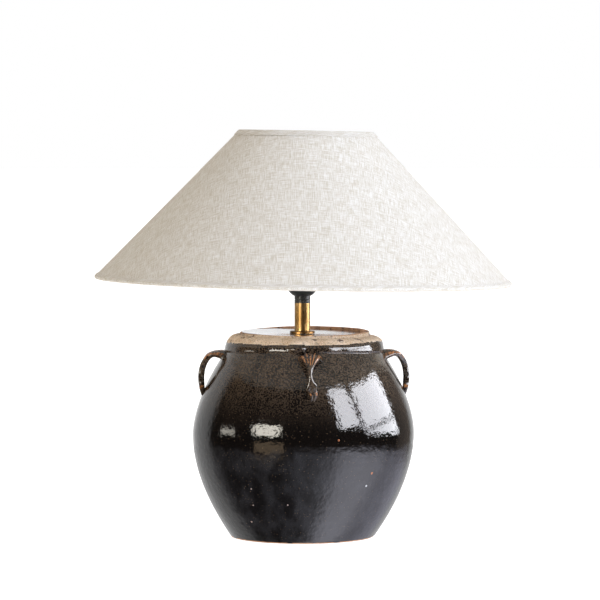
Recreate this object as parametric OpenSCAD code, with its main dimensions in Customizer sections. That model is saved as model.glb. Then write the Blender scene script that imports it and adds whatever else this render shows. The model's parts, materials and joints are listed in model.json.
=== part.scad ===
// Table lamp: a glazed stoneware jar with four strap lugs, a cover plate with a
// brass stem, an E27 lampholder, and a wide conical linen shade.
// The origin is the centre of the jar's foot, +Z is up and -Y is the front.

/* [Jar] */
// Height of the widest ring of the belly
belly_z = 124; // [110:1:135]
// Radius of the belly
belly_r = 132.5; // [126:0.5:136]
// Radius of the foot
foot_r = 86; // [78:0.5:90]
// Height where the wall meets the collar
collar_z = 222; // [216:1:226]
// Radius of the glazed collar
collar_r = 95; // [92:0.5:98]
// Thickness of the jar's wall
wall_t = 8; // [6:0.5:10]
// Outer radius of the mouth ring
mouth_r = 77.2; // [76:0.2:80]
// Radius of the mouth's bore
mouth_bore_r = 70.5; // [68:0.5:71]
// Sideways offset of the hand-thrown mouth ring
mouth_dx = 2.6; // [0:0.1:3.5]
// Tilt of the mouth's lip, front side down
lip_dip = 1.4; // [0:0.1:2]

/* [Lugs] */
// Thickness of a lug's strap
lug_t = 6; // [5:0.5:7]
// Width of a lug where it leaves the collar
lug_top_w = 29; // [22:1:32]
// Width of a lug at its narrow waist
lug_waist_w = 6; // [5:0.5:9]
// Turn of the four lugs from the front
lug_turn = 4.5; // [0:0.5:10]

/* [Cover and stem] */
// Radius of the cover plate
plate_r = 73; // [71:0.5:73.5]
// Thickness of the cover plate
plate_t = 2; // [1.2:0.1:2.2]
// Depth of the cover plate's shallow dish
plate_dish = 1.5; // [0:0.1:1.8]
// Height of the cover plate's upper face at its centre
plate_z = 243.2; // [242.5:0.1:244]
// Tilt of the cover plate, left side up
plate_tilt = 1.1; // [0:0.1:1.2]
// Tilt of the cover plate, front side down
plate_dip = 0.7; // [0:0.1:0.9]
// Radius of the brass stem
stem_r = 9.45; // [8.5:0.05:10.5]
// Height of the stem's upper end
stem_top_z = 280; // [270:1:284]
// Radius of the brass washer under the stem
washer_r = 15; // [13:0.5:18]

/* [Shade] */
// Radius of the shade at its lower rim
shade_bottom_r = 250; // [230:1:260]
// Radius of the shade at its upper rim
shade_top_r = 80.4; // [70:0.2:90]
// Height of the shade along its own axis
shade_h = 181; // [170:1:190]
// Height of the centre of the lower rim
shade_z = 305.2; // [303:0.2:308]
// Lean of the shade, right side down
shade_lean = 1.1; // [0:0.05:1.5]
// Sideways offset of the shade's lower rim
shade_dx = 1; // [0:0.1:3]
// Radius of the rim wires
wire_r = 1.6; // [1.2:0.1:2]

/* [Hidden] */
$fn = 96;

steps = 18;              // points along each half of the jar's wall
foot_t = 10;             // thickness of the jar's floor
collar_top_z = 235;      // upper edge of the glazed collar
shoulder_top_z = 241.5;  // upper edge of the bare clay shoulder
shoulder_top_r = 81.5;
lip_z = 246.2;           // height of the lip above the jar's axis
shoulder_under_z = 226;  // flat under the shoulder that the clamp bar pulls on
plate_gap = 0.4;         // play between the plate and its rebate

// Outer radius of the wall at height z, foot to belly and belly to collar
function low_r(z) = belly_r - (belly_r - foot_r) * pow((belly_z - z) / belly_z, 1.85);
function high_r(z) =
    belly_r - (belly_r - collar_r + 0.5) * pow((z - belly_z) / (collar_z - belly_z), 1.75);
function wall_r(z) = z < belly_z ? low_r(z) : high_r(z);

// Parts of the stem and clamp that have fixed sizes
washer_t = 3;
washer_z = plate_z + 0.4;
rod_r = 5;
rod_bore_r = 2.9;
rod_low_z = 213.5;
rod_top_z = 296;
bar_t = 3;
bar_len = 158;
bar_w = 18;
nut_h = 4.5;
nut_washer_t = 1.6;

// Grommet in the back wall, at right angles to the wall's slope
grommet_z = 26;
grommet_r = 7.5;         // radius through the wall
cord_r = 3.6;            // radius of the grommet's bore
flange_r = 10.5;
flange_t = 2;
grommet_slope = atan((wall_r(grommet_z + 2) - wall_r(grommet_z - 2)) / 4);

// Lampholder
holder_z = 288.4;        // underside of the holder's cup
cup_top_z = 311.5;
insert_z = 300;          // underside of the contact block
insert_r = 12.8;
skirt_r = 19.5;          // outside of the skirt's thread
skirt_bore_r = 13.9;
skirt_top_z = 346;
thread_pitch = 2.5;
thread_depth = 0.9;

// Shade fitting on the holder
fitter_z = 319.2;        // underside of the fitter ring
fitter_t = 1.5;
fitter_bore_r = 21;
fitter_r = 31;
ring_r = 27;             // the two shade rings
ring_h = 3.6;
ring_gap = 0.3;          // play between a shade ring and the fitter
arm_r = 1.6;

// Shade skin
liner_t = 0.6;
fabric_t = 0.7;
hem_t = 0.9;
hem_h = 6.5;
roll_r = 2.5;            // radius of the edge rolled round the lower rim wire
rim_rise = 1.4 * roll_r; // height where the skin's cone would reach the lower rim's radius
skin_slope = (shade_bottom_r - shade_top_r) / (shade_h - rim_rise);
skin_low_z = 4.9;        // lower edge of the fabric and the liner, just above the wire
wire_depth = hem_t + fabric_t + liner_t + wire_r + 0.05;
weld = 0.6;              // depth to which welded wires sink into each other

// Bulb
bulb_z = 321.5;          // lowest point of the bulb's contact
bulb_cap_r = 13.2;
bulb_r = 30;
bulb_centre_z = bulb_z + 76;
glass_t = 0.8;
cap_pitch = 3.63;
neck_z = bulb_z + 27;
glass_foot_z = neck_z - 3; // lower end of the glass, inside the cap

// Moves children into the shade's own frame, at the centre of its lower rim
module in_shade() {
    translate([shade_dx, 0, shade_z]) rotate([0, shade_lean, 0]) children();
}

// Round bar between two points
module bar_between(a, b, r) {
    d = b - a;
    translate(a) rotate([0, acos(d.z / norm(d)), atan2(d.y, d.x)]) cylinder(h = norm(d), r = r);
}

// Flat ring from radius inner to outer
module flat_ring(inner, outer, h) {
    rotate_extrude() translate([inner, 0]) square([outer - inner, h]);
}

// ---------------------------------------------------------------- jar

module jar_outline() {
    outer_low = [for (i = [0:steps]) let (z = belly_z * i / steps) [low_r(z), z]];
    outer_high = [for (i = [1:steps])
        let (z = belly_z + (collar_z - belly_z) * i / steps) [high_r(z), z]];
    inner_high = [for (i = [steps:-1:1])
        let (z = belly_z + (collar_z - belly_z) * i / steps) [high_r(z) - wall_t, z - 2]];
    inner_low = [for (i = [steps:-1:2]) let (z = belly_z * i / steps) [low_r(z) - wall_t, z]];
    polygon(concat(
        [[0, 0]], outer_low, outer_high,
        [[collar_r, collar_z + 1.5], [collar_r, collar_top_z],
         [shoulder_top_r, shoulder_top_z], [mouth_bore_r - 2, shoulder_top_z],
         [mouth_bore_r - 2, shoulder_under_z],
         [collar_r - wall_t - 3, shoulder_under_z]],
        inner_high, inner_low,
        [[foot_r - wall_t, foot_t], [0, foot_t]]));
}

// Moves children to the tilted cover plate's centre
module plate_frame() {
    translate([0, 0, plate_z]) rotate([plate_dip, plate_tilt, 0]) children();
}

module grommet_frame() {
    translate([0, wall_r(grommet_z), grommet_z]) rotate([-90 - grommet_slope, 0, 0]) children();
}

module jar() {
    color("#1d1814") difference() {
        union() {
            rotate_extrude() jar_outline();
            translate([mouth_dx, 0, shoulder_under_z])
                cylinder(h = lip_z + 6 - shoulder_under_z, r = mouth_r);
        }
        // Tilted lip plane
        translate([mouth_dx, 0, lip_z]) rotate([lip_dip, 0, 0])
            translate([-100, -100, 0]) cube([200, 200, 30]);
        // Bore of the mouth
        translate([mouth_dx, 0, shoulder_under_z - 8]) cylinder(h = 40, r = mouth_bore_r);
        // Rebate that the cover plate lies in
        plate_frame() translate([0, 0, plate_dish - plate_t])
            cylinder(h = 12, r = plate_r + plate_gap);
        // Hole for the grommet
        grommet_frame() translate([0, 0, -16]) cylinder(h = 30, r = grommet_r);
    }
}

// Point i of outline p, moved inwards by t at right angles to the outline
function inset(p, i, t) = let (d = p[i + 1] - p[i - 1]) p[i] + t * [d.y, -d.x] / norm(d);

// Side outline of a strap lug in the plane of radius and height: a strap of even
// thickness that arches out from the collar and comes back to the wall
module lug_side() {
    outer = [[94, 213], [97, 221.5], [104, 222.5], [111, 219.5], [117.5, 212], [122, 203],
             [124.8, 192], [124.6, 182], [122.5, 172], [121, 166], [112, 168]];
    difference() {
        polygon(outer);
        polygon(concat([for (i = [2:7]) inset(outer, i, lug_t)],
                       [for (z = [183:5:208]) [wall_r(z) - 0.3, z]]));
    }
}

// Front outline of a strap lug, flared at the top and at the drip below
module lug_front_outline() {
    half = lug_top_w / 2;
    waist = lug_waist_w / 2;
    right = [[half, 224], [half - 3, 218], [half - 7, 211], [waist + 0.8, 204.5], [waist, 197],
             [waist + 1.6, 187], [waist + 2, 178], [waist + 1.4, 171], [waist + 0.8, 163]];
    polygon(concat(right, [for (i = [len(right) - 1:-1:0]) [-right[i].x, right[i].y]]));
}

// A strap lug standing out towards +X, turned to its place round the jar
module strap_lug(turn) {
    color("#2a1d14") rotate([0, 0, turn]) intersection() {
        rotate([90, 0, 0]) translate([0, 0, -20]) linear_extrude(40) lug_side();
        translate([90, 0, 0]) rotate([90, 0, 90]) linear_extrude(40) lug_front_outline();
    }
}

module lug_front() { strap_lug(-90 + lug_turn); }
module lug_right() { strap_lug(lug_turn); }
module lug_back() { strap_lug(90 + lug_turn); }
module lug_left() { strap_lug(180 + lug_turn); }

// Rubber grommet: a tube with a flange on each side of the wall
module cord_grommet() {
    color("#202020") grommet_frame() difference() {
        union() {
            translate([0, 0, -wall_t - 2]) cylinder(h = wall_t + 3, r = grommet_r - 0.1);
            translate([0, 0, 0.1]) cylinder(h = flange_t, r = flange_r);
            translate([0, 0, -wall_t - 2.5]) cylinder(h = flange_t, r = grommet_r + 0.9);
        }
        translate([0, 0, -20]) cylinder(h = 30, r = cord_r);
    }
}

// ---------------------------------------------------------------- cover, stem and clamp

// Shallow dish with a flat middle for the washer and a flat rim that lies in the rebate
module cover_plate() {
    upper = [[rod_r + 0.3, 0], [18, 0], [66, plate_dish], [plate_r, plate_dish]];
    lower = [for (i = [len(upper) - 1:-1:0]) [upper[i].x, upper[i].y - plate_t]];
    color("#c9c8c5") plate_frame() rotate_extrude() polygon(concat(upper, lower));
}

module base_washer() {
    color("#b08d4a") translate([0, 0, washer_z]) rotate_extrude() polygon([
        [rod_r + 0.2, 0], [washer_r, 0], [washer_r, washer_t - 0.8],
        [washer_r - 0.8, washer_t], [rod_r + 0.2, washer_t]]);
}

module stem_tube() {
    color("#b08d4a") translate([0, 0, washer_z + washer_t])
        flat_ring(stem_r - 1, stem_r, stem_top_z - washer_z - washer_t);
}

module stem_collar() {
    color("#1b1b1b") translate([0, 0, stem_top_z]) rotate_extrude() polygon([
        [rod_r + 0.2, 0], [stem_r, 0], [stem_r, 3.6], [stem_r - 0.5, 4], [stem_r, 4.4],
        [stem_r, holder_z - stem_top_z], [rod_r + 0.2, holder_z - stem_top_z]]);
}

module threaded_rod() {
    color("#b9b9b4") translate([0, 0, rod_low_z])
        flat_ring(rod_bore_r, rod_r, rod_top_z - rod_low_z);
}

module clamp_bar() {
    color("#a7a7a2") translate([0, 0, shoulder_under_z - bar_t]) rotate([0, 0, 30]) difference() {
        translate([-bar_len / 2, -bar_w / 2, 0]) cube([bar_len, bar_w, bar_t]);
        translate([0, 0, -1]) cylinder(h = bar_t + 2, r = rod_r + 0.3);
    }
}

module clamp_washer() {
    color("#c4c4be") translate([0, 0, shoulder_under_z - bar_t - nut_washer_t])
        flat_ring(rod_r + 0.2, 10, nut_washer_t);
}

module clamp_nut() {
    color("#b9b9b4") translate([0, 0, shoulder_under_z - bar_t - nut_washer_t - nut_h]) difference() {
        cylinder(h = nut_h, r = 8.1, $fn = 6);
        translate([0, 0, -1]) cylinder(h = nut_h + 2, r = rod_r);
    }
}

// ---------------------------------------------------------------- lampholder

module holder_cup() {
    dome = [for (a = [0:10:90]) [9.6 + 10.4 * pow(sin(a), 1.5), holder_z + 16.6 * (1 - cos(a))]];
    hollow = [for (a = [90:-10:20]) [9.4 + 6.1 * sin(a), holder_z + 2.8 + 12.4 * (1 - cos(a))]];
    color("#161616") rotate_extrude() polygon(concat(
        [[rod_r, holder_z]], dome,
        [[20, cup_top_z], [18, cup_top_z], [18, insert_z + 4], [15.5, insert_z + 4]],
        hollow,
        [[rod_r, holder_z + 4]]));
}

// Moulded block that carries the contacts and the terminals
module holder_insert() {
    color("#d8d3c6") difference() {
        union() {
            translate([0, 0, insert_z]) cylinder(h = 14, r = insert_r);
            translate([0, 0, insert_z + 4]) cylinder(h = 4, r = 17.5);
        }
        translate([0, 0, insert_z + 12]) cylinder(h = 3, r = 9.5);
        for (s = [-1, 1]) translate([s * 9, 0, insert_z - 1]) cylinder(h = 9, r = 2);
    }
}

module centre_contact() {
    color("#b5953f") {
        translate([-3, -3, insert_z + 12]) cube([11, 6, 0.6]);
        translate([-3, -3, insert_z + 12.5]) cube([0.8, 6, 8]);
        translate([-3, -3, insert_z + 20.4]) cube([6, 6, 0.6]);
    }
}

module side_contacts() {
    color("#b5953f") for (s = [-1, 1]) {
        translate([s * 11.4 - 0.4, -2.5, insert_z + 14]) cube([0.8, 5, 11]);
    }
}

module terminal_screws() {
    color("#c4c4be") for (s = [-1, 1]) translate([s * 9, 0, insert_z - 1.5]) {
        cylinder(h = 9, r = 1.9);
        difference() {
            translate([0, 0, -1.6]) cylinder(h = 1.7, r = 3);
            translate([-4, -0.4, -2]) cube([8, 0.8, 1.2]);
        }
    }
}

// Skirt with its outside thread drawn as ridges one pitch apart
module holder_skirt() {
    turns = floor((skirt_top_z - cup_top_z - 3) / thread_pitch);
    ridges = [for (i = [0:turns - 1]) let (z = cup_top_z + 1.5 + i * thread_pitch) each [
        [skirt_r - thread_depth, z], [skirt_r, z + 0.8],
        [skirt_r, z + 1.4], [skirt_r - thread_depth, z + 2.2]]];
    color("#161616") rotate_extrude() polygon(concat(
        [[insert_r + 0.2, insert_z + 8.2], [17.4, insert_z + 8.2], [17.4, cup_top_z],
         [skirt_r - thread_depth, cup_top_z]],
        ridges,
        [[skirt_r - thread_depth, skirt_top_z - 0.6], [skirt_r - 1.5, skirt_top_z],
         [skirt_bore_r, skirt_top_z], [skirt_bore_r, insert_z + 15.5],
         [insert_r + 0.2, insert_z + 15.5]]));
}

// Shade ring: a gripped flange with a short collar
module shade_ring() {
    color("#161616") difference() {
        flat_ring(skirt_r + 0.3, ring_r, ring_h);
        for (a = [0:15:359]) rotate([0, 0, a]) translate([ring_r + 0.6, 0, -1])
            cylinder(h = ring_h + 2, r = 1.2, $fn = 16);
    }
}

module lower_shade_ring() {
    translate([0, 0, fitter_z - ring_gap - ring_h]) shade_ring();
}

module upper_shade_ring() {
    translate([0, 0, fitter_z + fitter_t + ring_gap]) shade_ring();
}

// ---------------------------------------------------------------- shade

module spider_ring() {
    color("#e9e7e1") translate([0, 0, fitter_z]) flat_ring(fitter_bore_r, fitter_r, fitter_t);
}

// Radius of the shade at height z along its axis, depth inside its outer face
function skin_r(z, depth) =
    shade_bottom_r - skin_slope * (z - rim_rise) - depth * norm([1, skin_slope]);

// Place of a point of the lower rim wire, as in_shade() puts it
function rim_point(r, a) = [
    shade_dx + r * cos(a) * cos(shade_lean), r * sin(a),
    shade_z + roll_r - r * cos(a) * sin(shade_lean)];

module spider_arms() {
    color("#e9e7e1") for (a = [30:120:270])
        bar_between(
            [(fitter_r - 2.4) * cos(a), (fitter_r - 2.4) * sin(a),
             fitter_z + fitter_t + arm_r - weld],
            rim_point(shade_bottom_r - roll_r - wire_r + weld, a), arm_r);
}

module rim_wire(r, z) {
    color("#e9e7e1") in_shade() translate([0, 0, z])
        rotate_extrude() translate([r, 0]) circle(r = wire_r);
}

module bottom_wire_ring() { rim_wire(shade_bottom_r - roll_r, roll_r); }

module top_wire_ring() {
    z = shade_h - wire_r;
    rim_wire(skin_r(z, wire_depth), z);
}

// Sheet of thickness t whose outer face lies depth inside the shade's outer cone
module cone_sheet(depth, t, low, high) {
    in_shade() rotate_extrude() polygon([
        [skin_r(low, depth), low], [skin_r(high, depth), high],
        [skin_r(high, depth + t), high], [skin_r(low, depth + t), low]]);
}

module shade_liner() {
    color("#f4f1ea") cone_sheet(hem_t + fabric_t, liner_t, skin_low_z, shade_h - 1.2);
}

module shade_fabric() {
    color("#ddd6c9") cone_sheet(hem_t, fabric_t, skin_low_z, shade_h - 1.2);
}

// Band of cloth outside the fabric, rolled round the rim wire from above to below
module bottom_hem() {
    slant = atan(skin_slope);
    inner_r = wire_r + 0.05;
    function roll(r, a) = [shade_bottom_r - roll_r + r * cos(a), roll_r + r * sin(a)];
    color("#d9d1c2") in_shade() rotate_extrude() polygon(concat(
        [[skin_r(hem_h, 0), hem_h]],
        [for (i = [0:12]) roll(roll_r, slant - i * (slant + 110) / 12)],
        [for (i = [12:-1:0]) roll(inner_r, slant - i * (slant + 110) / 12)],
        [[skin_r(hem_h, hem_t), hem_h]]));
}

module top_hem() { color("#d9d1c2") cone_sheet(0, hem_t, shade_h - hem_h, shade_h); }

// ---------------------------------------------------------------- bulb

module bulb_contact() {
    color("#c9c9c9") translate([0, 0, bulb_z]) cylinder(h = 1.6, r = 4.6);
}

module bulb_insulator() {
    color("#101010") translate([0, 0, bulb_z + 1.6]) rotate_extrude() polygon([
        [0, 0], [5.5, 0], [9.4, 2.6], [9.4, 3.2], [0, 3.2]]);
}

// Screw cap with its thread drawn as waves one pitch apart
module bulb_cap() {
    waves = [for (i = [0:30]) let (z = bulb_z + 5.4 + i * 0.6)
        [bulb_cap_r - 0.45 + 0.45 * cos(360 * i * 0.6 / cap_pitch), z]];
    inner = [for (i = [30:-1:0]) let (z = bulb_z + 5.4 + i * 0.6)
        [bulb_cap_r - 0.95 + 0.45 * cos(360 * i * 0.6 / cap_pitch), z]];
    color("#bdbdb8") rotate_extrude() polygon(concat(
        [[9.5, bulb_z + 4.8]], waves, [[bulb_cap_r, neck_z], [bulb_cap_r - 0.5, neck_z]],
        inner, [[9.5, bulb_z + 5.3]]));
}

// Half section of the glass, inset by t
module glass_profile(t) {
    neck_r = 12.6;
    polygon(concat(
        [[0, glass_foot_z + t], [neck_r - t, glass_foot_z + t], [neck_r - t, neck_z + 4]],
        [for (i = [0:10]) let (s = i / 10)
            [neck_r - t + (25.2 - neck_r) * s * s * (3 - 2 * s), neck_z + 4 + 28.5 * s]],
        [for (a = [-32:8:90]) [(bulb_r - t) * cos(a), bulb_centre_z + (bulb_r - t) * sin(a)]]));
}

module bulb_glass() {
    color("#f3f1ea", 0.5) rotate_extrude() difference() {
        glass_profile(0);
        glass_profile(glass_t);
    }
}

module bulb_stem() {
    color("#e6ecec", 0.6) translate([0, 0, glass_foot_z + glass_t]) rotate_extrude() polygon([
        [0, 0], [9, 0], [4.5, 8], [3, 22], [2.2, 48], [0, 49]]);
}

// Upright filament strips on their two carrier wires
module bulb_filament() {
    color("#e8b64a") for (a = [0:90:270]) rotate([0, 0, a + 45])
        translate([8.5, 0, neck_z + 8]) cylinder(h = 44, r = 1.1);
}

jar();
lug_front();
lug_right();
lug_back();
lug_left();
cover_plate();
base_washer();
stem_tube();
stem_collar();
threaded_rod();
clamp_bar();
clamp_washer();
clamp_nut();
cord_grommet();
holder_cup();
holder_insert();
centre_contact();
side_contacts();
terminal_screws();
holder_skirt();
lower_shade_ring();
upper_shade_ring();
spider_ring();
spider_arms();
bottom_wire_ring();
top_wire_ring();
shade_liner();
shade_fabric();
bottom_hem();
top_hem();
bulb_cap();
bulb_insulator();
bulb_contact();
bulb_glass();
bulb_stem();
bulb_filament();
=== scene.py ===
# Table lamp: a glazed stoneware jar with four strap lugs, a brass stem and a conical linen shade.
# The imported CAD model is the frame; this script adds the real surfaces of the jar, lugs and shade, every
# material, and a plain studio. Metres, +Z up, the front towards -Y. Local geometry is in millimetres.
import json
import math
import random

import bmesh
import bpy
import numpy as np
from mathutils import Matrix, Vector


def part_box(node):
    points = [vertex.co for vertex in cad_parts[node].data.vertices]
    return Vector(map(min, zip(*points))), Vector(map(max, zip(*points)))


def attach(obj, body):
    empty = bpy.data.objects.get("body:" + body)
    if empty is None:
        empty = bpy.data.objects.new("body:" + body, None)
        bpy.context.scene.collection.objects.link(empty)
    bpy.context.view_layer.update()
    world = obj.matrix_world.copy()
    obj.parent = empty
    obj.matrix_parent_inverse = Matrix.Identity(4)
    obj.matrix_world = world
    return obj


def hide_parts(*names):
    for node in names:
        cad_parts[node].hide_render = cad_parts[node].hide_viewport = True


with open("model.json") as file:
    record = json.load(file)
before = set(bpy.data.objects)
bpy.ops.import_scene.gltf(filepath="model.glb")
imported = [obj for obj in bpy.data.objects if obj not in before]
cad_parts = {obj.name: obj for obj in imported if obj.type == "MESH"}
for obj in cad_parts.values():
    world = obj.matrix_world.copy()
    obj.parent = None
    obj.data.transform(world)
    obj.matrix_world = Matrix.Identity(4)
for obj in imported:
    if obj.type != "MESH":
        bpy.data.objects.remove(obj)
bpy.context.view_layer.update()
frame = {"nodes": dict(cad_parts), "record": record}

nodes = frame["nodes"]
MM = 0.001


def box_mm(node):
    """Lowest and highest corner of a CAD node in millimetres, as arrays."""
    low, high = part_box(node)
    return np.array(low) / MM, np.array(high) / MM


def centre_mm(node):
    low, high = box_mm(node)
    return (low + high) / 2


def smooth(low, high, value):
    """0 below low, 1 above high, with a soft step between."""
    t = np.clip((value - low) / (high - low), 0, 1)
    return t * t * (3 - 2 * t)


def ripple(angle, seed, waves, size):
    """Uneven line round a circle: a few whole waves with their own phases, about size high."""
    draw = random.Random(seed)
    total = 0
    for count in waves:
        total = total + np.sin(count * angle + draw.uniform(0, 2 * math.pi)) * draw.uniform(0.5, 1)
    return total * size / math.sqrt(len(waves))


def link_object(name, data):
    thing = bpy.data.objects.new(name, data)
    bpy.context.scene.collection.objects.link(thing)
    return thing


# ------------------------------------------------------------------ mesh building

def grid_object(name, rows, cap_first=False, cap_last=False, loop_rows=False, uv=None):
    """Object from closed rings of points in millimetres, each joined to the next ring.

    A cap closes the first or last ring with a fan, loop_rows joins the last ring to the first, and uv
    is what write_uv takes.
    """
    around = len(rows[0])
    points = np.concatenate(rows)
    count = len(rows)
    first = np.arange(around)
    after = (first + 1) % around
    faces = []
    for k in range(count if loop_rows else count - 1):
        a, b = k * around, ((k + 1) % count) * around
        faces.extend(np.stack([first + a, after + a, after + b, first + b], 1).tolist())
    if cap_first:
        faces.extend([[len(points), j, i] for i, j in zip(first.tolist(), after.tolist())])
        points = np.vstack([points, rows[0].mean(0)])
    if cap_last:
        base = (count - 1) * around
        faces.extend([[len(points), base + i, base + j] for i, j in zip(first.tolist(), after.tolist())])
        points = np.vstack([points, rows[-1].mean(0)])
    mesh = bpy.data.meshes.new(name)
    mesh.from_pydata((points * MM).tolist(), [], faces)
    if uv is not None:
        write_uv(mesh, uv, around)
    return smooth_object(name, mesh)


def write_uv(mesh, uv, around):
    """UV in metres: a pair for every vertex, and a pair for where each ring comes round to its start."""
    values, wrapped = uv
    layer = mesh.uv_layers.new(name="Pattern")
    corner = np.empty(len(mesh.loops), int)
    mesh.loops.foreach_get("vertex_index", corner)
    out = values[corner].copy()
    column = corner % around
    for start in range(0, len(corner), 4):
        cols = column[start:start + 4]
        if cols.max() - cols.min() > around / 2:
            for k in range(start, start + 4):
                if column[k] == 0:
                    out[k] = wrapped[corner[k] // around]
    layer.data.foreach_set("uv", out.ravel())


def smooth_object(name, mesh):
    mesh.validate()
    mesh.polygons.foreach_set("use_smooth", [True] * len(mesh.polygons))
    mesh.update()
    return link_object(name, mesh)


def recalculate_normals(thing):
    work = bmesh.new()
    work.from_mesh(thing.data)
    bmesh.ops.recalc_face_normals(work, faces=work.faces)
    work.to_mesh(thing.data)
    work.free()


def vertices_mm(thing):
    out = np.empty(len(thing.data.vertices) * 3)
    thing.data.vertices.foreach_get("co", out)
    return out.reshape(-1, 3) / MM


def write_attribute(thing, name, values):
    attribute = thing.data.attributes.new(name, "FLOAT", "POINT")
    attribute.data.foreach_set("value", np.asarray(values, np.float32))


def finish_piece(thing, body, material, replaced):
    """Gives a new piece its material and body, and puts it in the place of a CAD node."""
    thing.data.materials.clear()
    thing.data.materials.append(material)
    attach(thing, body)
    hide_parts(replaced)
    return thing


# ------------------------------------------------------------------ shader building

class Nodes:
    """A node tree made by short calls, each of which returns a socket."""

    def __init__(self, tree, place):
        self.tree = tree
        self.tree.nodes.clear()
        self.place = self.add("TexCoord").outputs[place]

    def add(self, kind):
        return self.tree.nodes.new("ShaderNode" + kind)

    def feed(self, socket, value):
        if isinstance(value, bpy.types.NodeSocket):
            self.tree.links.new(value, socket)
        elif isinstance(value, tuple) and socket.type == "RGBA":
            socket.default_value = (*value, 1)
        else:
            socket.default_value = value

    def math(self, kind, a, b=0.0, c=0.0):
        node = self.add("Math")
        node.operation = kind
        for socket, value in zip(node.inputs, (a, b, c)):
            self.feed(socket, value)
        return node.outputs[0]

    def attribute(self, name):
        node = self.add("Attribute")
        node.attribute_name = name
        return node.outputs["Fac"]

    def axes(self):
        node = self.add("SeparateXYZ")
        self.feed(node.inputs[0], self.place)
        return node.outputs

    def stretched(self, x, y, z, place=None):
        node = self.add("VectorMath")
        node.operation = "MULTIPLY"
        self.feed(node.inputs[0], place or self.place)
        node.inputs[1].default_value = (x, y, z)
        return node.outputs[0]

    def noise(self, scale, place=None, detail=3.0, rough=0.55):
        node = self.add("TexNoise")
        self.feed(node.inputs["Vector"], place or self.place)
        node.inputs["Scale"].default_value = scale
        node.inputs["Detail"].default_value = detail
        node.inputs["Roughness"].default_value = rough
        return node.outputs[0]

    def cells(self, scale):
        """Distance from the nearest of a scatter of points."""
        node = self.add("TexVoronoi")
        self.feed(node.inputs["Vector"], self.place)
        node.inputs["Scale"].default_value = scale
        return node.outputs["Distance"]

    def step(self, value, low, high, out_low=0.0, out_high=1.0):
        """Soft step from out_low to out_high while value goes from low to high."""
        node = self.add("MapRange")
        node.interpolation_type = "SMOOTHSTEP"
        self.feed(node.inputs["Value"], value)
        node.inputs["From Min"].default_value = low
        node.inputs["From Max"].default_value = high
        node.inputs["To Min"].default_value = out_low
        node.inputs["To Max"].default_value = out_high
        return node.outputs[0]

    def mix(self, share, a, b):
        node = self.add("Mix")
        node.data_type = "RGBA"
        self.feed(node.inputs[0], share)
        self.feed(node.inputs[6], a)
        self.feed(node.inputs[7], b)
        return node.outputs[2]

    def ring_distance(self, centre_x):
        """Distance in metres from an upright line that stands centre_x to the right."""
        x, y, _ = self.axes()
        across = self.math("SUBTRACT", x, centre_x)
        return self.math("SQRT", self.math("ADD", self.math("MULTIPLY", across, across),
                                           self.math("MULTIPLY", y, y)))

    def near(self, point, reach, edge=0.55):
        """1 at a point in metres, falling to 0 at reach."""
        node = self.add("VectorMath")
        node.operation = "DISTANCE"
        self.feed(node.inputs[0], self.place)
        node.inputs[1].default_value = point
        return self.step(node.outputs["Value"], reach, reach * edge)

    def bump(self, height, depth, strength):
        node = self.add("Bump")
        node.inputs["Strength"].default_value = strength
        node.inputs["Distance"].default_value = depth
        self.feed(node.inputs["Height"], height)
        return node.outputs[0]


class Surface(Nodes):
    """A material round one Principled shader."""

    def __init__(self, name, **inputs):
        self.material = bpy.data.materials.new(name)
        self.material.use_nodes = True
        super().__init__(self.material.node_tree, "Object")
        self.output = self.add("OutputMaterial")
        self.surface = self.add("BsdfPrincipled")
        self.tree.links.new(self.surface.outputs[0], self.output.inputs["Surface"])
        self.set(**inputs)

    def set(self, **inputs):
        for key, value in inputs.items():
            self.feed(self.surface.inputs[key.replace("_", " ")], value)

    def let_through(self, share, colour):
        """Mixes in light that comes through from the far side."""
        through = self.add("BsdfTranslucent")
        self.feed(through.inputs["Color"], colour)
        blend = self.add("MixShader")
        blend.inputs[0].default_value = share
        self.tree.links.new(self.surface.outputs[0], blend.inputs[1])
        self.tree.links.new(through.outputs[0], blend.inputs[2])
        self.tree.links.new(blend.outputs[0], self.output.inputs["Surface"])


# ------------------------------------------------------------------ jar: sizes

AROUND = 480
theta = np.arange(AROUND) * 2 * math.pi / AROUND      # from +X towards +Y
facing = -np.sin(theta)                               # 1 in front, -1 behind

jar_low, jar_high = box_mm("jar")
BELLY_R = (jar_high[1] - jar_low[1]) / 2 + 0.4
BELLY_Z = 124.0
FOOT_R = 86.0
COLLAR_R = 94.6
LUMP_TURN = 0.095      # radians to the left of the front
LUMP_HALF = 9.5        # half the lump's width
WALL = 8.0
FLOOR_Z = 10.0
RING_DX = 2.6          # the hand-thrown mouth ring sits this far to the right
RING_R = 77.4
BORE_R = 70.5
UNDER_Z = 226.0        # underside of the shoulder, inside
INLET_R = 7.5          # hole for the lead's grommet
LIP_Z = 246.2
LIP_DIP = math.tan(math.radians(1.4))        # front side down

plate_low, plate_high = box_mm("cover_plate")
PLATE_R = (plate_high[1] - plate_low[1]) / 2
PLATE_T = 2.0
PLATE_TILT = math.tan(math.radians(1.1))     # left side up
PLATE_DIP = math.tan(math.radians(0.7))      # front side down
PLATE_UNDER_Z = plate_high[2] - PLATE_R * math.hypot(PLATE_TILT, PLATE_DIP) - PLATE_T


def crease_z(angle):
    """Height of the fold between the shoulder and the collar, higher in front."""
    front = np.clip(-np.sin(angle), 0, 1)
    return 221.4 + 4.4 * front ** 1.5 + ripple(angle, 5, (3, 5, 8), 0.35)


def collar_top_z(angle):
    """Height at which the collar's band ends and the shoulder begins."""
    front = np.clip(-np.sin(angle), 0, 1)
    return 234.2 + 0.9 * np.cos(angle) + 1.9 * front + ripple(angle, 11, (4, 9, 17), 0.35)


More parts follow.
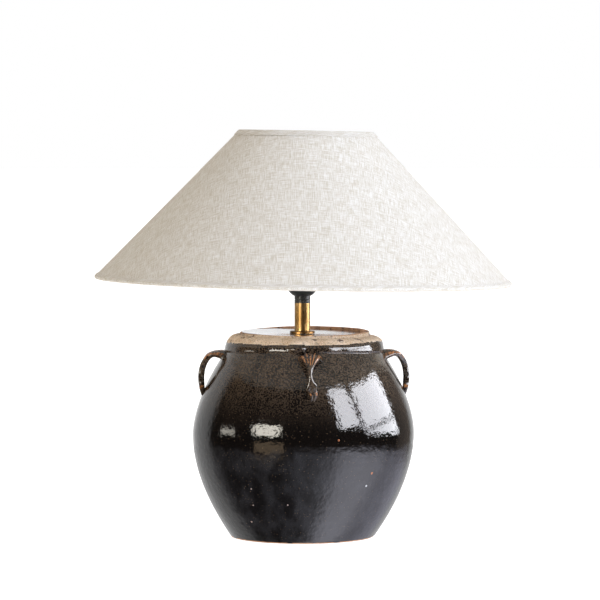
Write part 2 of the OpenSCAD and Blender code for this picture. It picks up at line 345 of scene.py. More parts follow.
def glaze_edge_z(angle):
    """Height at which the glaze ends and the bare clay begins."""
    return collar_top_z(angle) + ripple(angle, 12, (23, 41, 67, 93), 0.35) + lump(angle) * 3.2


def lump(angle):
    """Share, 0 to 1, of a thick run of glaze on the collar, left of the front."""
    across = (angle + math.pi / 2 + LUMP_TURN + math.pi) % (2 * math.pi) - math.pi
    return np.sqrt(np.clip(1 - (across * COLLAR_R / LUMP_HALF) ** 2, 0, 1))


def wall_r(z, angle):
    """Outer radius of the thrown wall, before the throwing rings."""
    rise = np.clip((z - BELLY_Z) / (crease_z(angle) - BELLY_Z), 0, None)
    drop = np.clip((BELLY_Z - z) / BELLY_Z, 0, 1)
    return BELLY_R - (BELLY_R - FOOT_R) * drop ** 1.85 - (BELLY_R - COLLAR_R) * rise ** 1.75


def drift(z):
    """How far the wall's centre has wandered to the right at height z."""
    return np.interp(z, [0, 125, 232, 240], [0.4, 1.3, 2.4, RING_DX])


def throwing(z, angle):
    """Faint rings left by the potter's fingers, and the jar's slow unevenness."""
    rings = 0.012 * np.sin(2 * math.pi * z / 8.3 + 0.7 * np.sin(angle + 1))
    rings = rings + 0.035 * np.sin(2 * math.pi * z / 21 + angle) * smooth(120, 90, z)
    slow = 0.22 * np.sin(2 * angle + z / 37) + 0.16 * np.sin(3 * angle - z / 23 + 2)
    return rings * smooth(2, 30, z) + slow * smooth(4, 40, z)


# ------------------------------------------------------------------ jar: mesh

def ring_points(radius, z, centre_x=0.0):
    radius = np.broadcast_to(radius, theta.shape)
    return np.stack([radius * np.cos(theta) + centre_x, radius * np.sin(theta),
                     np.broadcast_to(z, theta.shape)], 1)


def underside_rows():
    """Recessed underside and the foot ring that the jar stands on."""
    return [ring_points(r, z) for r, z in (
        (8, 3.2), (30, 3.0), (55, 2.6), (66, 2.2), (71, 1.6), (73, 0.6), (74.5, 0.1), (76, 0.0),
        (80, 0.0), (FOOT_R - 0.7, 0.0), (FOOT_R - 0.2, 0.15), (FOOT_R, 0.6))]


def wall_rows():
    """The wall's outside, from just over the foot to just under the crease."""
    first = 1.8
    last = crease_z(theta) - 0.9
    rows = []
    for share in np.linspace(0, 1, 236):
        z = first + share * (last - first)
        radius = wall_r(z, theta) + throwing(z, theta)
        rows.append(ring_points(radius, z, drift(z)))
    return rows


# The collar's band in profile: share of its height, and how far it stands out from its foot
COLLAR_BAND = [(0, 0), (0.04, 0.6), (0.09, 0.95), (0.15, 1.02), (0.24, 0.93), (0.34, 0.8), (0.44, 0.64),
               (0.53, 0.48), (0.62, 0.2), (0.71, -0.3), (0.8, -0.9), (0.9, -1.75), (1, -2.8)]


def collar_rows():
    """The collar's band bulges, then rounds over into the bare clay of the shoulder."""
    fold, top = crease_z(theta), collar_top_z(theta)
    rounding = 0.45 + 0.55 * np.clip(facing, 0, 1)
    foot = COLLAR_R + 0.1
    rows = []
    for share, out in COLLAR_BAND:
        z = fold + share * (top - fold)
        swell = 3.8 * lump(theta) * math.sin(math.pi * min(max(share, 0.12), 0.95)) ** 0.5
        rows.append(ring_points(foot + out * (rounding if out < 0 else 1) + swell, z, drift(z)))
    edge = foot + COLLAR_BAND[-1][1] * rounding
    for share in (0.04, 0.1, 0.18, 0.28, 0.4, 0.55, 0.75, 1.0):
        z = top + (1 - (1 - share) ** 2.8) * (shoulder_z() - top)
        over = lump(theta) * np.clip(1 - share / 0.4, 0, 1)
        rows.append(ring_points(edge + share * (RING_R + 2.4 - edge) + 1.6 * over,
                                z + 1.5 * over, drift(236 + 4 * share)))
    return rows


def lip_z(radius):
    """Height of the mouth's dipping lip at a radius, lower where the plate lies over it."""
    under_plate = 1.1 * smooth(0.1, 0.8, -np.cos(theta)) * smooth(1.0, -0.4, facing)
    return LIP_Z + radius * np.sin(theta) * LIP_DIP - under_plate + ripple(theta, 21, (3, 7, 13), 0.12)


def shoulder_z():
    return np.minimum(241.6 - np.cos(theta), lip_z(80) - 1.6)


def mouth_rows():
    """The mouth ring: outer wall, land, rebate for the plate, bore, and the underside within."""
    outer = RING_R + ripple(theta, 31, (2, 5, 9, 14), 0.25)
    about_plate = np.sqrt((PLATE_R + 0.4) ** 2 - (RING_DX * np.sin(theta)) ** 2)
    rebate = np.maximum(about_plate - RING_DX * np.cos(theta), BORE_R + 0.2)
    shelf_x = RING_DX + rebate * np.cos(theta)
    shelf_y = rebate * np.sin(theta)
    shelf = PLATE_UNDER_Z - shelf_x * PLATE_TILT + shelf_y * PLATE_DIP - 0.03
    lip = np.maximum(lip_z(76), shelf + 0.3)
    foot = np.minimum(shoulder_z(), lip - 1.2)
    profile = [(outer + 1.2, foot + 0.25), (outer + 0.4, (foot + lip) / 2), (outer, lip - 0.6),
               (outer - 0.35, lip - 0.2), (outer - 0.9, lip)]
    land = np.maximum(outer - 0.9, rebate + 0.6)
    profile += [(land * (1 - t) + (rebate + 0.4) * t, lip) for t in (0.35, 0.7, 1)]
    profile += [(rebate + 0.1, lip - 0.15 * (lip - shelf)), (rebate, lip - 0.5 * (lip - shelf)),
                (rebate, shelf + 0.02)]
    profile += [(rebate * (1 - t) + (BORE_R + 0.1) * t, shelf) for t in (0.1, 0.6, 1)]
    profile += [(BORE_R, shelf - 0.4), (BORE_R, 234), (BORE_R, UNDER_Z + 1.5),
                (BORE_R + 1.0, UNDER_Z)]
    rows = [ring_points(radius, z, RING_DX) for radius, z in profile]
    return rows + [ring_points(78, UNDER_Z, 2), ring_points(83.5, UNDER_Z - 0.5, 0)]


def inside_rows():
    """The wall's inside, downwards, and the floor."""
    rows = []
    for z in np.linspace(218, FLOOR_Z + 6, 56):
        rows.append(ring_points(wall_r(z + 3, theta) - WALL, z, drift(z)))
    floor = ((80, FLOOR_Z + 1.5), (74, FLOOR_Z), (40, FLOOR_Z), (8, FLOOR_Z))
    return rows + [ring_points(radius, z) for radius, z in floor]


def bore_hole(thing):
    """Cuts the grommet's hole through the back wall, along the record's inlet axis."""
    inlet = next(m for m in frame["record"]["mounts"] if m["name"] == "cord_inlet")
    axis = Vector(inlet["axis"])
    work = bmesh.new()
    bmesh.ops.create_cone(work, segments=48, radius1=INLET_R * MM, radius2=INLET_R * MM, depth=60 * MM,
                          cap_ends=True)
    mesh = bpy.data.meshes.new("drill")
    work.to_mesh(mesh)
    work.free()
    drill = link_object("drill", mesh)
    turned = axis.to_track_quat("Z", "Y").to_matrix().to_4x4()
    drill.matrix_world = Matrix.Translation(inlet["pos_m"]) @ turned
    cut = thing.modifiers.new("hole", "BOOLEAN")
    cut.operation, cut.solver, cut.object = "DIFFERENCE", "EXACT", drill
    keep_modifiers(thing)
    bpy.data.objects.remove(drill)


def keep_modifiers(thing):
    """Replaces the object's mesh by its evaluated one."""
    graph = bpy.context.evaluated_depsgraph_get()
    done = bpy.data.meshes.new_from_object(thing.evaluated_get(graph), depsgraph=graph,
                                           preserve_all_data_layers=True)
    thing.modifiers.clear()
    thing.data = done


def bare_share(points):
    """1 on bare clay, 0 on glaze, for points of the jar."""
    x, y, z = points.T
    angle = np.arctan2(y, x - drift(z))
    radius = np.hypot(x - drift(z), y)
    above = smooth(-0.3, 0.3, z - glaze_edge_z(angle))
    inner = radius < wall_r(np.clip(z, 0, 221), angle) - 4.0
    foot = smooth(1.3, 0.7, z + ripple(angle, 41, (5, 11, 19, 37), 0.5))
    return np.maximum.reduce([above, inner.astype(float), foot])


def make_jar(material):
    rows = underside_rows() + wall_rows() + collar_rows() + mouth_rows() + inside_rows()
    jar = grid_object("jar_body", rows, cap_first=True, cap_last=True)
    recalculate_normals(jar)
    bore_hole(jar)
    write_attribute(jar, "bare", bare_share(vertices_mm(jar)))
    write_attribute(jar, "rub", np.zeros(len(jar.data.vertices)))
    finish_piece(jar, "base", material, "jar")


# ------------------------------------------------------------------ lugs

# The strap's centreline in the plane of radius and height
LUG_PATH = [(90, 218.8), (97, 219.6), (103, 219.8), (109.2, 219.2), (114.6, 216.6), (118.8, 211.2),
            (122, 203.5), (123.4, 195), (123.4, 187), (122.4, 179), (121.5, 173), (121.4, 168)]
# Front outline: share of the path, left edge and right edge from the lug's middle
LUG_OUTLINE = [(0, -20, 19), (0.09, -17, 16), (0.165, -14.6, 13.2), (0.235, -13.2, 10.5),
               (0.31, -11.8, 8.3), (0.36, -10.2, 5.8), (0.42, -7.6, 2.6), (0.49, -5.6, 0.4),
               (0.56, -4.8, -0.5), (0.63, -5.0, 1.0), (0.7, -6.6, 5.2), (0.79, -8.2, 5.2),
               (0.82, -4.6, 6.0), (0.86, -2.8, 6.2), (0.91, -2.4, 5.6), (0.95, -2.6, 3.8), (1, -1.4, 1.8)]
# Thickness of the strap by share of the path
LUG_THICK = [(0, 9.0), (0.12, 9.0), (0.25, 7.8), (0.45, 7.4), (0.75, 7.6), (0.88, 6.6), (0.95, 4.8),
             (1, 1.6)]
LUG_TURN = 4.5              # degrees that each lug stands round from its side
LUG_STEPS = 130
RIM_STEPS = 64


def curve_through(points, steps):
    """Catmull-Rom curve through points, at even shares of its length."""
    points = np.array(points, float)
    padded = np.vstack([2 * points[0] - points[1], points, 2 * points[-1] - points[-2]])
    fine = []
    for i in range(1, len(padded) - 2):
        p0, p1, p2, p3 = padded[i - 1:i + 3]
        for t in np.linspace(0, 1, 24, endpoint=False):
            fine.append(0.5 * (2 * p1 + (p2 - p0) * t + (2 * p0 - 5 * p1 + 4 * p2 - p3) * t * t
                               + (3 * p1 - p0 - 3 * p2 + p3) * t ** 3))
    fine.append(padded[-2])
    fine = np.array(fine)
    length = np.concatenate([[0], np.cumsum(np.linalg.norm(np.diff(fine, axis=0), axis=1))])
    share = np.linspace(0, length[-1], steps)
    return np.stack([np.interp(share, length, fine[:, k]) for k in range(2)], 1)


def strap_section(half, share):
    """Cross-section of the strap: how far each point lies across and outward, and stands proud."""
    turn = np.linspace(0, 2 * math.pi, RIM_STEPS, endpoint=False)
    across, out = np.cos(turn), np.sin(turn)
    thick = np.interp(share, *zip(*LUG_THICK)) / 2
    u = np.sign(across) * np.abs(across) ** 0.8
    body = np.sign(out) * np.abs(out) ** 0.75
    fan = smooth(0.56, 0.4, share) * smooth(3.5, 6, half)
    drip = smooth(0.68, 0.8, share)
    ribs = 0.55 * np.clip(np.cos(u * math.pi * 5), 0, 1) ** 2 * fan * (np.abs(u) < 0.75)
    bead = (1.2 * fan + 0.8 * drip) * np.exp(-((np.abs(u) - 0.86) / 0.13) ** 2)
    hollow = -1.1 * fan * (1 - u * u) - 1.0 * drip * np.exp(-((u + 0.15) / 0.22) ** 2)
    relief = (ribs + bead + hollow) * np.clip(out, 0, 1)
    return u, body * thick + relief, ribs * 1.6 + (0.3 + 0.35 * smooth(0.45, 0.3, share)) * bead


def strap_edges(shares, flip):
    """Left and right edge of the strap along its path, rounded off; flip mirrors it."""
    outline = np.array(LUG_OUTLINE)
    if flip:
        outline = np.stack([outline[:, 0], -outline[:, 2], -outline[:, 1]], 1)
    edges = [np.interp(shares, outline[:, 0], outline[:, k]) for k in (1, 2)]
    for edge in edges:
        for _ in range(3):
            edge[1:-1] = (edge[:-2] + 2 * edge[1:-1] + edge[2:]) / 4
    return edges


def make_lug(name, turn, flip, lift, material, replaced):
    """One strap: its root fans out on the shoulder, lift above the path, and its foot is a drip."""
    path = curve_through(LUG_PATH, LUG_STEPS)
    shares = np.linspace(0, 1, LUG_STEPS)
    slope = np.gradient(path, axis=0)
    slope /= np.linalg.norm(slope, axis=1)[:, None]
    left, right = strap_edges(shares, flip)
    radial = np.array([math.cos(turn), math.sin(turn), 0])
    sideways = np.array([-math.sin(turn), math.cos(turn), 0])
    up = np.array([0, 0, 1.0])
    rows, rub = [], []
    for k, share in enumerate(shares):
        half = (right[k] - left[k]) / 2
        middle = (right[k] + left[k]) / 2
        u, outward, proud = strap_section(half, share)
        sag = 10 * smooth(0.34, 0.0, share) * np.abs(u) ** 2.6
        tuck = 3.6 * smooth(0.3, 0.0, share) * np.abs(u) ** 2.2
        radius = path[k][0] - outward * slope[k][1] - tuck
        height = path[k][1] + outward * slope[k][0] - sag + lift * smooth(0.5, 0.1, share)
        along = middle + u * half
        points = radius[:, None] * radial + along[:, None] * sideways + height[:, None] * up
        points[:, 0] += drift(height)
        rows.append(points)
        worn = np.clip(proud * 1.2, 0, 1) * (outward > 0) * smooth(0.06, 0.16, share)
        at_foot = 0.6 * smooth(0.06, 0.0, abs(share - 0.84)) * (np.abs(u) > 0.5)
        rub.append(np.maximum(worn, at_foot))
    lug = grid_object(name, rows, cap_first=True, cap_last=True)
    recalculate_normals(lug)
    write_attribute(lug, "bare", np.zeros(len(lug.data.vertices)))
    write_attribute(lug, "rub", np.concatenate([*rub, [0, 0]]))
    finish_piece(lug, "base", material, replaced)


# ------------------------------------------------------------------ shade

wire_low = centre_mm("bottom_wire_ring")
wire_high = centre_mm("top_wire_ring")
HEM_T = 0.9
HEM_H = 6.5
CLOTH_T = 0.6
ROLL_R = 2.5                # the cloth's edge is rolled round the lower rim wire
ROLL_INNER_R = 1.65
WIRE_R = 1.6
RIM_RISE = 1.4 * ROLL_R
SHADE_AXIS = (wire_high - wire_low) / np.linalg.norm(wire_high - wire_low)
SHADE_FOOT = wire_low - ROLL_R * SHADE_AXIS
SHADE_H = float(np.linalg.norm(wire_high - wire_low)) + ROLL_R + WIRE_R
RIM_R = box_mm("bottom_hem")[1][1]
HEM_UPPER_R = box_mm("top_hem")[1][1]
SKIN_SLOPE = (RIM_R - HEM_UPPER_R) / (SHADE_H - HEM_H - RIM_RISE)
CLOTH_LOW = 4.9             # heights of the cloth's two edges, under the hems
CLOTH_HIGH = SHADE_H - 0.9
SHADE_AROUND = 720
CLOTH_ROWS = 150
round_shade = np.arange(SHADE_AROUND) * 2 * math.pi / SHADE_AROUND + math.pi / 2     # from the seam behind


def in_shade(radius, height, angle):
    """Points of a ring at a radius and height in the leaning shade's own frame."""
    side = np.array([SHADE_AXIS[2], 0, -SHADE_AXIS[0]])
    depth = np.array([0, 1.0, 0])
    return (SHADE_FOOT + np.outer(radius * np.cos(angle), side) + np.outer(radius * np.sin(angle), depth)
            + np.outer(np.broadcast_to(height, angle.shape), SHADE_AXIS))


def skin_r(height, depth):
    """Radius at a height of the cone that lies depth inside the shade's outer cone."""
    return RIM_R - SKIN_SLOPE * (height - RIM_RISE) - depth * math.hypot(1, SKIN_SLOPE)


def make_cloth(material):
    """The shade's cone of cloth with its glued seam; its pattern is the cone unrolled flat."""
    angle = round_shade
    slant = math.hypot(1, SKIN_SLOPE) / SKIN_SLOPE
    opening = SKIN_SLOPE / math.hypot(1, SKIN_SLOPE)
    end = math.pi * opening
    rows, flat, wrapped = [], [], []
    for height in np.linspace(CLOTH_LOW, CLOTH_HIGH, CLOTH_ROWS):
        hollow = 0.12 * np.sin(3 * angle + height / 40) + 0.1 * np.sin(7 * angle - height / 25 + 1)
        overlap = 0.5 * smooth(0.052, 0.046, np.abs(angle - math.pi / 2 - 0.05)) * (angle < 2)
        radius = skin_r(height, HEM_T) + hollow + overlap
        rows.append(in_shade(radius, height, angle))
        reach = skin_r(height, HEM_T) * slant * MM
        turned = (angle - 3 * math.pi / 2) * opening
        flat.append(np.stack([reach * np.sin(turned), reach * np.cos(turned)], 1))
        wrapped.append((reach * math.sin(end), reach * math.cos(end)))
    cloth = grid_object("shade_cloth", rows, uv=(np.concatenate(flat), np.array(wrapped)))
    shell = cloth.modifiers.new("thickness", "SOLIDIFY")
    shell.thickness, shell.offset = CLOTH_T * MM, -1
    return finish_piece(cloth, "shade", material, "shade_fabric")


def rolled_section():
    """The lower hem in section: a band that runs down into a roll round the rim wire."""
    lean = math.atan(SKIN_SLOPE)
    centre = np.array([RIM_R - ROLL_R, ROLL_R])
    tangent = ROLL_R + ROLL_R * math.sin(lean)

    def band(depth, heights):
        return [(skin_r(h, depth), h) for h in heights]

    def arc(radius, turns):
        return [tuple(centre + radius * np.array([math.cos(t), math.sin(t)])) for t in turns]

    turns = np.linspace(lean, math.radians(-110), 14)
    halfway = (HEM_H + tangent) / 2
    outside = band(0.3, [HEM_H]) + band(0.05, [HEM_H - 0.25]) + band(0, [HEM_H - 0.7, halfway])
    inside = band(0.85, [halfway, HEM_H - 0.2])
    return outside + arc(ROLL_R, turns) + arc(ROLL_INNER_R, turns[::-1]) + inside


def flat_section():
    """The upper hem in section: a thin band with rounded edges."""
    half = HEM_T / 2
    middle = SHADE_H - HEM_H / 2
    section = []
    for turn in np.linspace(0, -2 * math.pi, 24, endpoint=False):
        along, out = math.cos(turn), -math.sin(turn)
        height = middle + np.sign(along) * abs(along) ** 0.6 * (HEM_H / 2 - 0.1)
        section.append((skin_r(height, half - np.sign(out) * abs(out) ** 0.75 * half), height))
    return section


def make_hem(name, section, material, replaced):
    """A band of the same cloth, swept round the shade from its section of radius and height."""
    angle = round_shade
    rows, flat, wrapped = [], [], []
    girth, before = 0.0, section[0]
    for k, (radius, height) in enumerate(section):
        puff = 0.05 * np.sin(40 * angle + k / 3) + 0.04 * np.sin(93 * angle + k / 2)
        rows.append(in_shade(radius + puff, height, angle))
        girth += math.dist(before, (radius, height)) * MM
        before = (radius, height)
        flat.append(np.stack([radius * MM * (angle - math.pi / 2), np.full(SHADE_AROUND, girth)], 1))
        wrapped.append((radius * MM * 2 * math.pi, girth))
    hem = grid_object(name, rows, loop_rows=True, uv=(np.concatenate(flat), np.array(wrapped)))
    recalculate_normals(hem)
    return finish_piece(hem, "shade", material, replaced)


# ------------------------------------------------------------------ materials

def clay_look(s, z):
    """Colour and height of the bare sandy clay, stained here and there, redder in mouth and foot; at the
    foot also painted shade where it meets the floor.
    """
    grain = s.noise(700, detail=3)
    colour = s.mix(s.step(s.noise(38, detail=4), 0.35, 0.68), (0.58, 0.38, 0.21), (0.84, 0.64, 0.46))
    colour = s.mix(s.step(grain, 0.40, 0.68, 0, 0.6), colour, (0.98, 0.86, 0.72))
    dark = s.step(s.noise(420, detail=4, rough=0.7), 0.54, 0.66, 0, 0.75)
    colour = s.mix(dark, colour, (0.22, 0.11, 0.05))
    mouth = s.step(s.ring_distance(RING_DX * MM), 0.0775, 0.0768)
    colour = s.mix(s.math("MULTIPLY", mouth, 0.8), colour, (0.50, 0.22, 0.09))
    stain = s.math("MULTIPLY", s.step(s.noise(75, detail=5, rough=0.7), 0.53, 0.62),
                   s.step(s.noise(17, detail=2), 0.42, 0.54))
    colour = s.mix(s.math("MULTIPLY", stain, 0.9), colour, (0.08, 0.03, 0.015))
    # Lowest 4 mm of the foot: redder fired clay, darkened as painted shade where the foot meets the floor.
    colour = s.mix(s.step(z, 0.004, 0.001, 0, 0.7), colour, (0.42, 0.17, 0.06))
    return colour, grain


PALE_CHIP = 0.42
ORANGE_CHIP = (0.50, 0.16, 0.05)
# Flaws of the glaze: degrees round from the front, height and radius in millimetres, how orange
FLAWS = [(39, 85, 1.6, 1), (37, 70, 1.5, 0), (-30, 67, 1.0, 0.3), (-31, 47, 0.9, 0.3), (-9, 49, 0.9, 0.3),
         (-36, 26, 1.1, 0.4), (18, 126, 1.3, 0.9)]


def on_wall(degrees, height):
    """Point of the jar's wall in metres, so many degrees round from the front."""
    turn = math.radians(degrees - 90)
    radius = float(wall_r(height, turn))
    x = radius * math.cos(turn) + float(drift(height))
    return (x * MM, radius * math.sin(turn) * MM, height * MM)


def flaws(s, colour):
    """Small chips: a pale or orange fleck, the larger ones with a dark middle."""
    for degrees, height, radius, orange in FLAWS:
        tint = tuple(PALE_CHIP * (1 - orange) + orange * part for part in ORANGE_CHIP)
        spot = on_wall(degrees, height)
        colour = s.mix(s.near(spot, radius * MM, 0.7), colour, tint)
        if radius > 1.2 and orange > 0.5:
            colour = s.mix(s.near(spot, 0.55 * radius * MM, 0.6), colour, (0.03, 0.015, 0.01))
    return colour


def glaze_material():
    """Tenmoku-like glaze: brown and glossy above, that brown partly painted reflection of the shade's lit
    inside, satin blue-black below, bare clay where masked.
    """
    s = Surface("stoneware_glaze", IOR=1.5)
    z = s.axes()[2]
    runs = s.noise(46, s.stretched(1, 1, 0.12), detail=4, rough=0.65)
    cloud = s.noise(60, s.stretched(1, 1, 0.5), detail=4, rough=0.6)
    fine = s.noise(420, detail=3)
    dimples = s.noise(170, detail=2)
    uneven = s.math("MULTIPLY_ADD", s.noise(22, detail=5, rough=0.62), 0.032, z)
    satin = s.step(uneven, 0.131, 0.123)
    deep = s.mix(runs, (0.001, 0.0008, 0.0007), (0.005, 0.0035, 0.003))
    mottle = s.step(s.math("ADD", s.noise(560, detail=2), s.math("MULTIPLY", runs, 0.35)), 0.58, 0.76)
    # Brown of the glaze plus painted reflection: the lighter mottled brown towards the top stands in for
    # the shade's lit inside seen in the glaze.
    brown_glaze_and_reflection = s.mix(mottle, (0.007, 0.0045, 0.003), (0.084, 0.057, 0.037))
    gloss_colour = s.mix(s.step(z, 0.130, 0.215), deep, brown_glaze_and_reflection)
    satin_colour = s.mix(s.step(cloud, 0.35, 0.68), (0.003, 0.0025, 0.0025), (0.015, 0.0145, 0.016))
    glaze = s.mix(satin, gloss_colour, satin_colour)
    specks = s.math("MULTIPLY", s.step(s.cells(330), 0.20, 0.09, 0, 0.8), s.step(fine, 0.44, 0.56))
    glaze = s.mix(specks, glaze, (0.11, 0.07, 0.04))
    worn = s.step(s.attribute("rub"), 0.15, 0.75)
    rub = s.math("MULTIPLY", worn, s.step(s.noise(240, detail=3), 0.35, 0.6))
    glaze = flaws(s, s.mix(rub, glaze, (0.42, 0.17, 0.06)))
    clay, grain = clay_look(s, z)
    ragged = s.math("MULTIPLY_ADD", s.math("SUBTRACT", s.noise(300, detail=4, rough=0.7), 0.5), 1.1,
                    s.attribute("bare"))
    bare = s.step(ragged, 0.42, 0.58)
    rough_glaze = s.math("MULTIPLY_ADD", satin, 0.17, s.step(cloud, 0.3, 0.75, 0.035, 0.08))
    rough = s.math("MULTIPLY_ADD", bare, 0.75, rough_glaze)
    peel = s.math("MULTIPLY_ADD", dimples, s.step(satin, 0, 1, 1.3, 1.7), s.noise(14, detail=3))
    peel = s.math("MULTIPLY_ADD", fine, 0.35, peel)
    s.set(Base_Color=s.mix(bare, glaze, clay), Roughness=rough,
          Normal=s.bump(s.mix(bare, peel, grain), 0.0006, 0.35))
    return s.material


def linen_material():
    """Natural linen: two sets of uneven threads, slubs both ways, light coming through."""
    s = Surface("natural_linen", Roughness=0.9, IOR=1.4, Sheen_Weight=0.15)
    pattern = s.add("UVMap")
    pattern.uv_map = "Pattern"
    uv = pattern.outputs[0]
    warp = s.noise(1.0, s.stretched(1200, 62, 1, uv), detail=2, rough=0.75)
    weft = s.noise(1.0, s.stretched(62, 1200, 1, uv), detail=2, rough=0.75)
    slub_up = s.step(s.noise(1.0, s.stretched(800, 60, 1, uv), detail=2), 0.60, 0.74)
    slub_across = s.step(s.noise(1.0, s.stretched(60, 800, 1, uv), detail=2), 0.58, 0.72)
    weave = s.math("ADD", warp, weft)
    colour = s.mix(s.step(weave, 0.78, 1.22), (0.63, 0.56, 0.45), (0.885, 0.85, 0.80))
    slubs = s.math("MAXIMUM", slub_up, slub_across)
    colour = s.mix(s.math("MULTIPLY", slubs, 0.5), colour, (0.60, 0.51, 0.39))
    height = s.math("MULTIPLY_ADD", slubs, 0.5, weave)
    s.set(Base_Color=colour, Normal=s.bump(height, 0.0006, 0.85))
    s.let_through(0.2, colour)
    return s.material


def liner_material():
    """White plastic laminate inside the shade, which lets some light through."""
    s = Surface("white_laminate", Roughness=0.45, IOR=1.5)
    colour = s.mix(s.noise(30, detail=3), (0.80, 0.78, 0.73), (0.88, 0.86, 0.82))
    s.set(Base_Color=colour, Normal=s.bump(s.noise(900, detail=2), 0.0002, 0.3))
    s.let_through(0.35, colour)
    return s.material


def metal_material(name, dark, light, rough_low, rough_high, lines, bump=0.25):
    """Metal, lightly tarnished: lines is how the polish's noise is stretched along x, y and z."""
    s = Surface(name, Metallic=1.0)
    polish = s.noise(1.0, s.stretched(*lines), detail=4, rough=0.6)
    tarnish = s.noise(60, detail=4)
    colour = s.mix(s.step(tarnish, 0.35, 0.7), light, dark)
    s.set(Base_Color=colour, Roughness=s.step(polish, 0.3, 0.7, rough_low, rough_high),
          Normal=s.bump(polish, 0.0001, bump))
    return s.material


def plain_material(name, dark, light, rough_low, rough_high, scale):
    """Moulded or enamelled stuff: slightly clouded colour, fine grain in gloss and height."""
    s = Surface(name)
    cloud = s.noise(scale, detail=4)
    fine = s.noise(900, detail=3)
    s.set(Base_Color=s.mix(cloud, dark, light), Roughness=s.step(fine, 0.3, 0.7, rough_low, rough_high),
          Normal=s.bump(fine, 0.00015, 0.3))
    return s.material


def glass_material():
    """Clear glass, faintly smeared."""
    s = Surface("clear_glass", Transmission_Weight=1.0, IOR=1.45)
    smear = s.noise(45, detail=3)
    s.set(Base_Color=(0.97, 0.98, 0.97), Roughness=s.step(smear, 0.4, 0.8, 0.0, 0.05))
    return s.material


# ------------------------------------------------------------------ studio

def world_light():
    """What gloss sees all round: pale wall behind, dim room in front, ceiling above, bright floor below."""
    world = bpy.data.worlds.new("studio")
    bpy.context.scene.world = world
    world.use_nodes = True
    s = Nodes(world.node_tree, "Generated")
    output = s.add("OutputWorld")
    back = s.add("Background")
    s.tree.links.new(back.outputs[0], output.inputs[0])
    x, y, z = s.axes()
    azimuth = s.math("ARCTAN2", x, s.math("MULTIPLY", y, -1.0))
    degrees = s.math("MULTIPLY", azimuth, 180 / math.pi)
    behind = s.math("ADD", s.step(degrees, -108, -122), s.step(degrees, 142, 154))
    ceiling_z = s.math("MULTIPLY_ADD", s.math("POWER", s.math("ABSOLUTE", azimuth), 3.0), -0.0285, 0.72)
    above = s.step(s.math("SUBTRACT", z, ceiling_z), -0.015, 0.015)
    below = s.step(z, -0.17, -0.30)
    low_side = s.mix(s.step(degrees, -30, 15), (0.07, 0.065, 0.07), (0.5, 0.5, 0.55))
    low_side = s.mix(s.step(degrees, 18, 50), low_side, (3.0, 3.0, 3.4))
    low_side = s.mix(s.step(degrees, 75, 110), low_side, (1.1, 1.1, 1.3))
    colour = s.mix(s.step(degrees, 108, 120), (0.05, 0.045, 0.04), (0.28, 0.24, 0.21))
    colour = s.mix(below, colour, low_side)
    colour = s.mix(above, colour, (1.10, 1.02, 0.90))
    wall = s.mix(s.step(s.math("ABSOLUTE", degrees), 150, 165), (0.8, 0.8, 0.8), (1.0, 1.0, 1.0))
    colour = s.mix(behind, colour, wall)
    s.feed(back.inputs["Color"], colour)
    world.cycles.sampling_method = "NONE"


def make_floor():
    """Pale floor, lit from within so that it meets the pale wall without an edge."""
    half = 60
    corners = [(-half, -half, 0), (half, -half, 0), (half, half, 0), (-half, half, 0)]
    mesh = bpy.data.meshes.new("floor")
    mesh.from_pydata(corners, [], [(0, 1, 2, 3)])
    floor = link_object("floor", mesh)
    s = Surface("pale_floor", Base_Color=(0.5, 0.5, 0.5), Roughness=1.0,
                Emission_Color=(1.0, 1.0, 1.0), Emission_Strength=0.95)
    mesh.materials.append(s.material)
    floor.visible_glossy = False


PANEL_AWAY = 2.5


def towards(degrees, rise):
    """Point at a panel's distance, so many degrees round from the front and up from the level."""
    turn, lift = math.radians(degrees), math.radians(rise)
    out = PANEL_AWAY * math.cos(lift)
    return (out * math.sin(turn), -out * math.cos(turn), PANEL_AWAY * math.sin(lift))


def panel(name, radiance, colour, *corners):
    """A glowing panel that only gloss sees; its corners are degrees round and up."""
    mesh = bpy.data.meshes.new(name)
    mesh.from_pydata([towards(*corner) for corner in corners], [], [(0, 1, 2, 3)])
    thing = link_object(name, mesh)
    s = Surface(name)
    glow = s.add("Emission")
    s.feed(glow.inputs["Color"], colour)
    glow.inputs["Strength"].default_value = radiance
    s.tree.links.new(glow.outputs[0], s.output.inputs["Surface"])
    mesh.materials.append(s.material)
    thing.visible_camera = False
    thing.visible_diffuse = False
    thing.visible_transmission = False
    thing.visible_shadow = False


def soft_light(name, place, aim_z, size, radiance, colour):
    """A square area light that only dull surfaces see, aimed at a height on the lamp's axis."""
    data = bpy.data.lights.new(name, "AREA")
    data.shape = "SQUARE"
    data.size = size
    data.energy = radiance * math.pi * size ** 2
    data.color = colour
    thing = link_object(name, data)
    thing.location = place
    thing.rotation_euler = (Vector((0, 0, aim_z)) - Vector(place)).to_track_quat("-Z", "Y").to_euler()
    thing.visible_glossy = False
    thing.visible_camera = False


def make_camera():
    """Long lens 3.9 m away, a little below the top of the lamp and looking slightly down."""
    data = bpy.data.cameras.new("camera")
    data.lens, data.sensor_width = 195.4, 36
    data.clip_start, data.clip_end = 0.1, 200
    camera = link_object("camera", data)
    camera.location = (-0.0028, -3.9, 0.468)
    camera.rotation_euler = (math.radians(90 - 2.71), 0, 0)
    bpy.context.scene.camera = camera


# ------------------------------------------------------------------ build

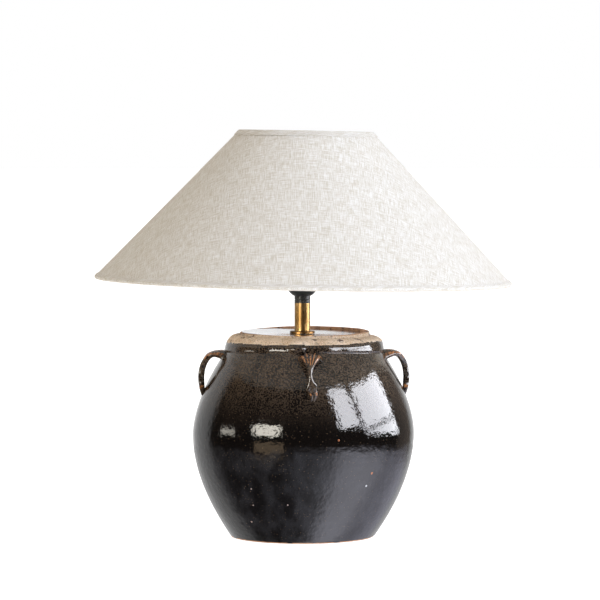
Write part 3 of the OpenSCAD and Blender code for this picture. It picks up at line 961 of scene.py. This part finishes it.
make_camera()
bpy.context.scene.view_settings.view_transform = "Standard"
make_floor()
world_light()
COOL, WARM = (0.93, 0.94, 1.0), (1.0, 0.95, 0.84)
panel("pane_left", 15, COOL, (32, 44), (55, 42), (61, 15), (39, 13.5))
panel("pane_right", 15, COOL, (63, 39.5), (112, 32.5), (109.5, 15), (65, 12))
panel("pane_foot", 14, COOL, (67, 10), (110, 13.5), (113, 3), (67, 7))
panel("pane_cream", 15, WARM, (-52, 16), (-23, 16), (-25, 6), (-50.5, 6.5))
panel("pane_tan", 1.6, (1.0, 0.75, 0.5), (-51, -3), (-21, -3), (-21, -14), (-51, -14))
panel("pane_side", 6, WARM, (-93, 10), (-75, 10), (-75, 5), (-93, 5))
soft_light("key", (2.3, -1.25, 2.0), 0.3, 1.6, 5.8, (0.72, 0.83, 1.0))
soft_light("window", (1.74, -1.93, 1.05), 0.35, 1.6, 6.6, (0.70, 0.80, 1.0))
soft_light("fill", (-2.2, -1.5, 1.2), 0.3, 1.5, 1.25, (1.0, 0.87, 0.64))

glaze = glaze_material()
linen = linen_material()
make_jar(glaze)
for index, side in enumerate(("front", "right", "back", "left")):
    make_lug("strap_lug_" + side, math.radians(LUG_TURN - 90 + 90 * index), index % 2 == 1,
             3.0 if side == "front" else 0.8, glaze, "lug_" + side)
cloth = make_cloth(linen)
lower_hem = make_hem("hem_lower", rolled_section(), linen, "bottom_hem")
upper_hem = make_hem("hem_upper", flat_section(), linen, "top_hem")

EVEN_COARSE = (300, 300, 300)
EVEN_FINE = (500, 500, 500)
LENGTHWISE = (700, 700, 25)
brass = metal_material("brass", (0.32, 0.18, 0.06), (0.46, 0.285, 0.12), 0.24, 0.33, LENGTHWISE, 0.06)
aged_brass = metal_material("aged_brass", (0.10, 0.055, 0.02), (0.26, 0.14, 0.05), 0.25, 0.4, EVEN_FINE)
steel = metal_material("zinc_steel", (0.42, 0.42, 0.43), (0.62, 0.62, 0.64), 0.28, 0.5, EVEN_COARSE)
nickel = metal_material("nickel", (0.55, 0.53, 0.50), (0.72, 0.70, 0.66), 0.15, 0.3, EVEN_FINE)
mirror = metal_material("polished_plate", (0.46, 0.46, 0.47), (0.55, 0.55, 0.56), 0.06, 0.16, EVEN_COARSE)
enamel = plain_material("black_enamel", (0.012, 0.011, 0.011), (0.030, 0.028, 0.027), 0.22, 0.4, 90)
plastic = plain_material("black_plastic", (0.012, 0.012, 0.012), (0.026, 0.026, 0.027), 0.3, 0.5, 120)
rubber = plain_material("black_rubber", (0.016, 0.016, 0.016), (0.032, 0.031, 0.030), 0.6, 0.85, 90)
ceramic = plain_material("contact_block", (0.62, 0.60, 0.55), (0.76, 0.74, 0.70), 0.25, 0.5, 60)
white_wire = plain_material("white_wire", (0.72, 0.71, 0.68), (0.82, 0.81, 0.79), 0.25, 0.45, 60)
black_glass = plain_material("black_glass", (0.006, 0.006, 0.007), (0.014, 0.014, 0.016), 0.08, 0.2, 90)
glow_strip = plain_material("filament", (0.70, 0.42, 0.10), (0.85, 0.60, 0.20), 0.4, 0.6, 200)
SLOT_LOOK = {"brass": brass, "black_enamel": enamel, "zinc_steel": steel, "black_rubber": rubber,
             "black_plastic": plastic, "contact_block": ceramic, "white_wire": white_wire,
             "white_liner": liner_material(), "nickel_cap": nickel, "black_glass": black_glass,
             "clear_glass": glass_material(), "filament": glow_strip, "polished_plate": mirror,
             "glaze": glaze, "linen": linen}
for row in frame["record"]["subparts"]:
    part = nodes[row["node"]]
    part.data.materials.clear()
    part.data.materials.append(SLOT_LOOK[row["material_slot"]])
nodes["base_washer"].data.materials[0] = aged_brass      # darker than the tube that stands on it
